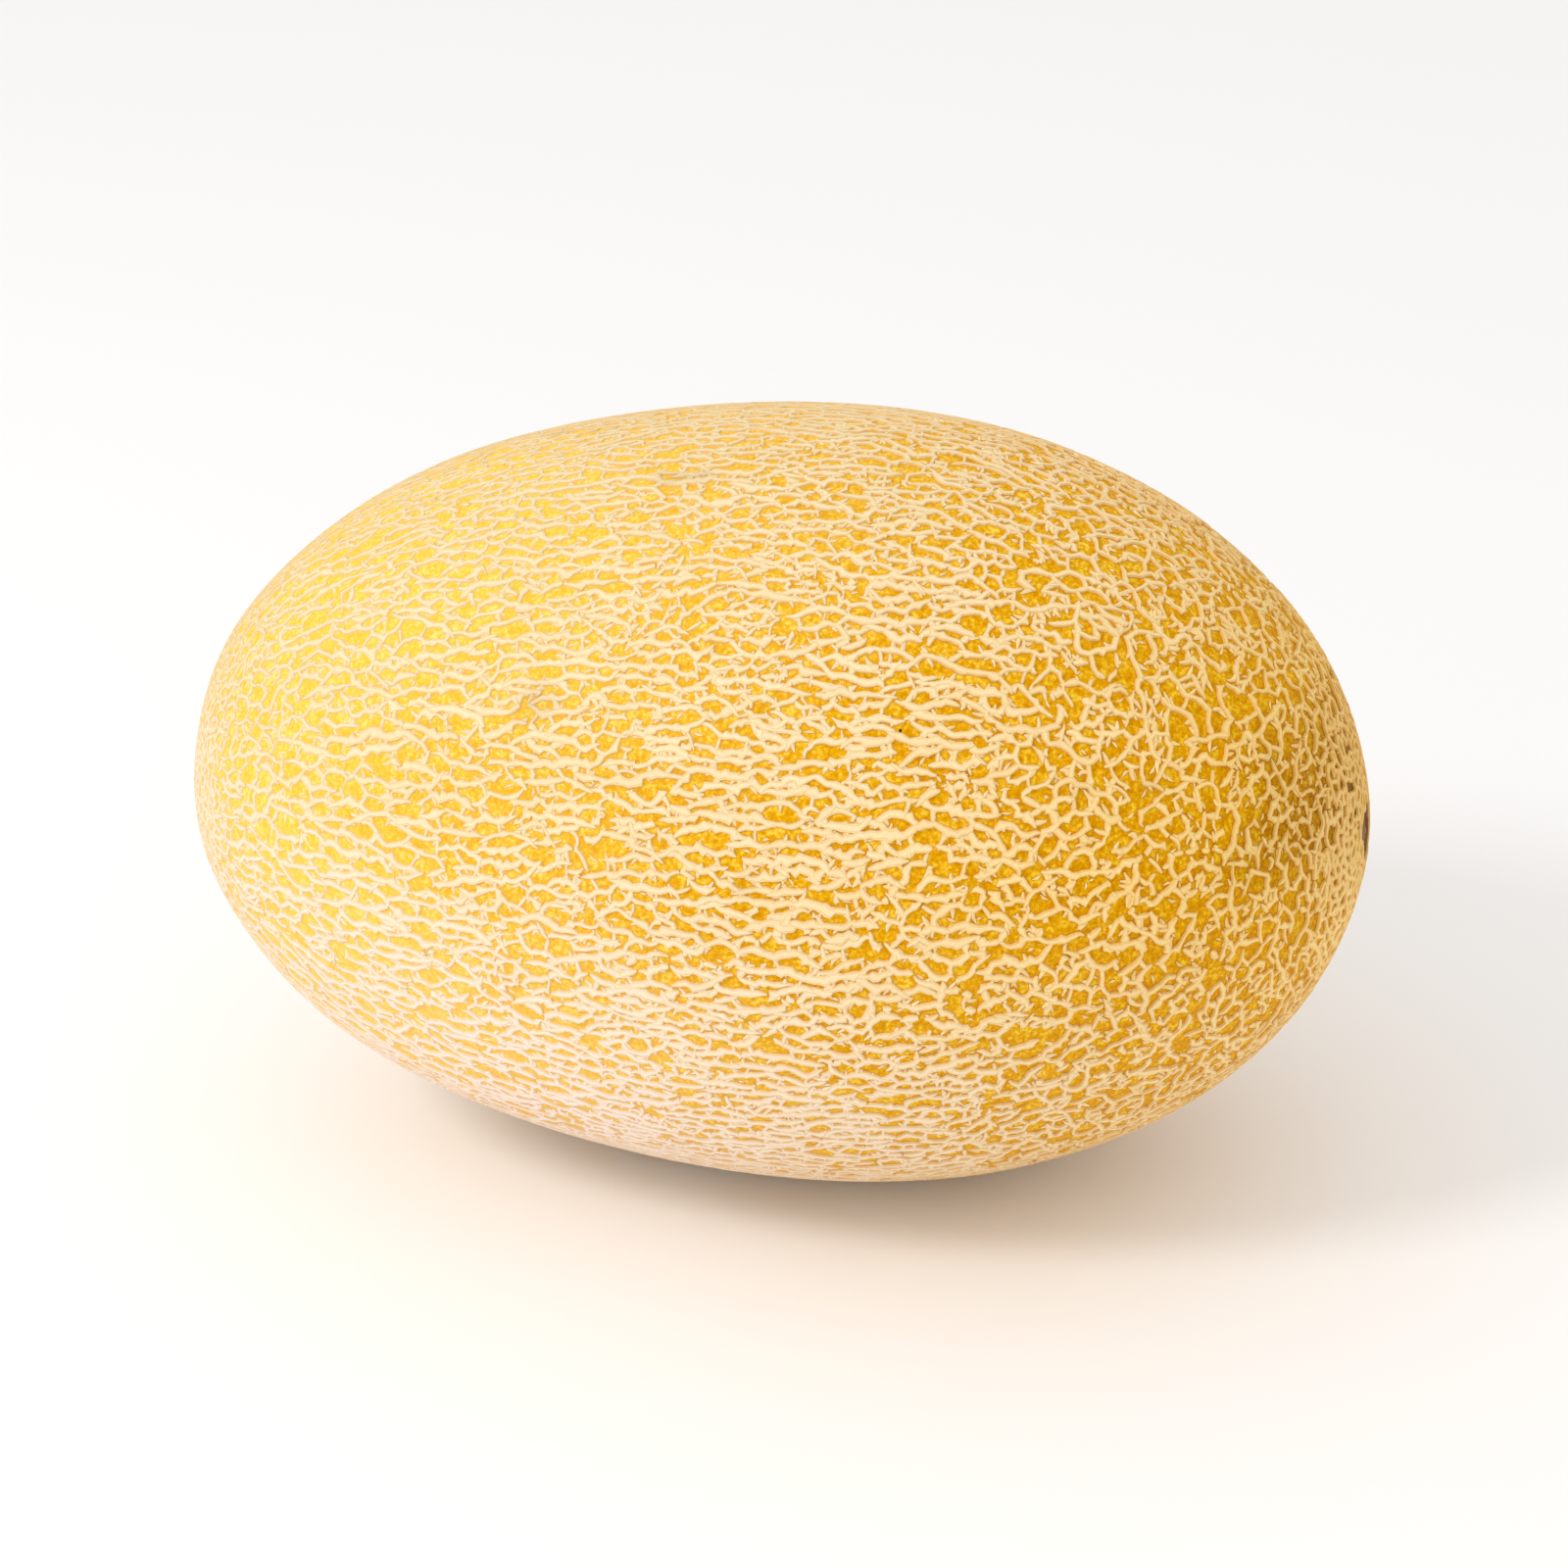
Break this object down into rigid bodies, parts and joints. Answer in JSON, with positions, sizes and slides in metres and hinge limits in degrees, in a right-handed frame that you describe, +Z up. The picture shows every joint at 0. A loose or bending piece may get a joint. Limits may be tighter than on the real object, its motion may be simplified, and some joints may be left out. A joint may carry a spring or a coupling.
{
  "type": "melon",
  "caption": "Oval netted golden melon lying on its side: golden rind under a raised cream cork net, with a stem scar at one end and a small flat spot to rest on.",
  "frame": {"origin": "middle of the fruit's box, on the surface that it rests on", "axes": "+X along the fruit's long axis towards the stem end, +Z up from the flat spot that it rests on"},
  "size_m": [0.2412, 0.1586, 0.1563],
  "materials": {
    "rind": "golden waxy rind under a dry, cream-coloured cork net"
  },
  "bodies": {
    "root": {"melon": "rind"}
  },
  "joints": []
}
